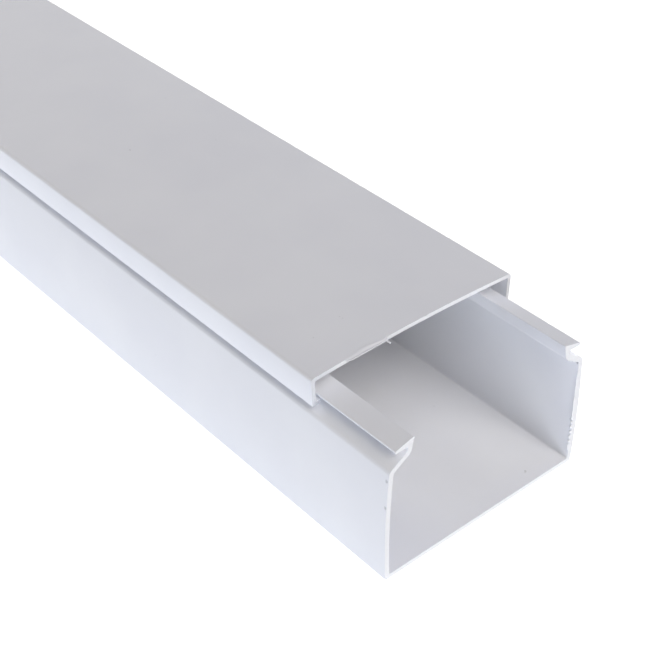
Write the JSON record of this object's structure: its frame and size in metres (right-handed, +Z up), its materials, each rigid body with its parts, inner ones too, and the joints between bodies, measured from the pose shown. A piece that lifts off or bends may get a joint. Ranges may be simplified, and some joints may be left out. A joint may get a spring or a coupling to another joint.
{
  "type": "cord cover raceway",
  "caption": "Rigid PVC cable channel with inward shoulders and out-turned barbed rims, and a crowned snap lid whose side lips catch under the rims and slide along them.",
  "frame": {"origin": "middle of the channel's flat underside, half way along its length", "axes": "+X along the raceway towards the end where the lid is set back, +Y across it, +Z up from the floor to the lid"},
  "size_m": [2.024, 0.0608, 0.0428],
  "materials": {
    "channel_pvc": "satin extruded rigid PVC",
    "lid_pvc": "satin extruded rigid PVC"
  },
  "bodies": {
    "channel": {"base_channel": "channel_pvc"},
    "lid": {"snap_lid": "lid_pvc"}
  },
  "joints": [
    {"name": "lid_slide", "type": "slide", "parent": "channel", "child": "lid", "axis": [1, 0, 0], "range_m": [-1.98, 0.024]}
  ]
}
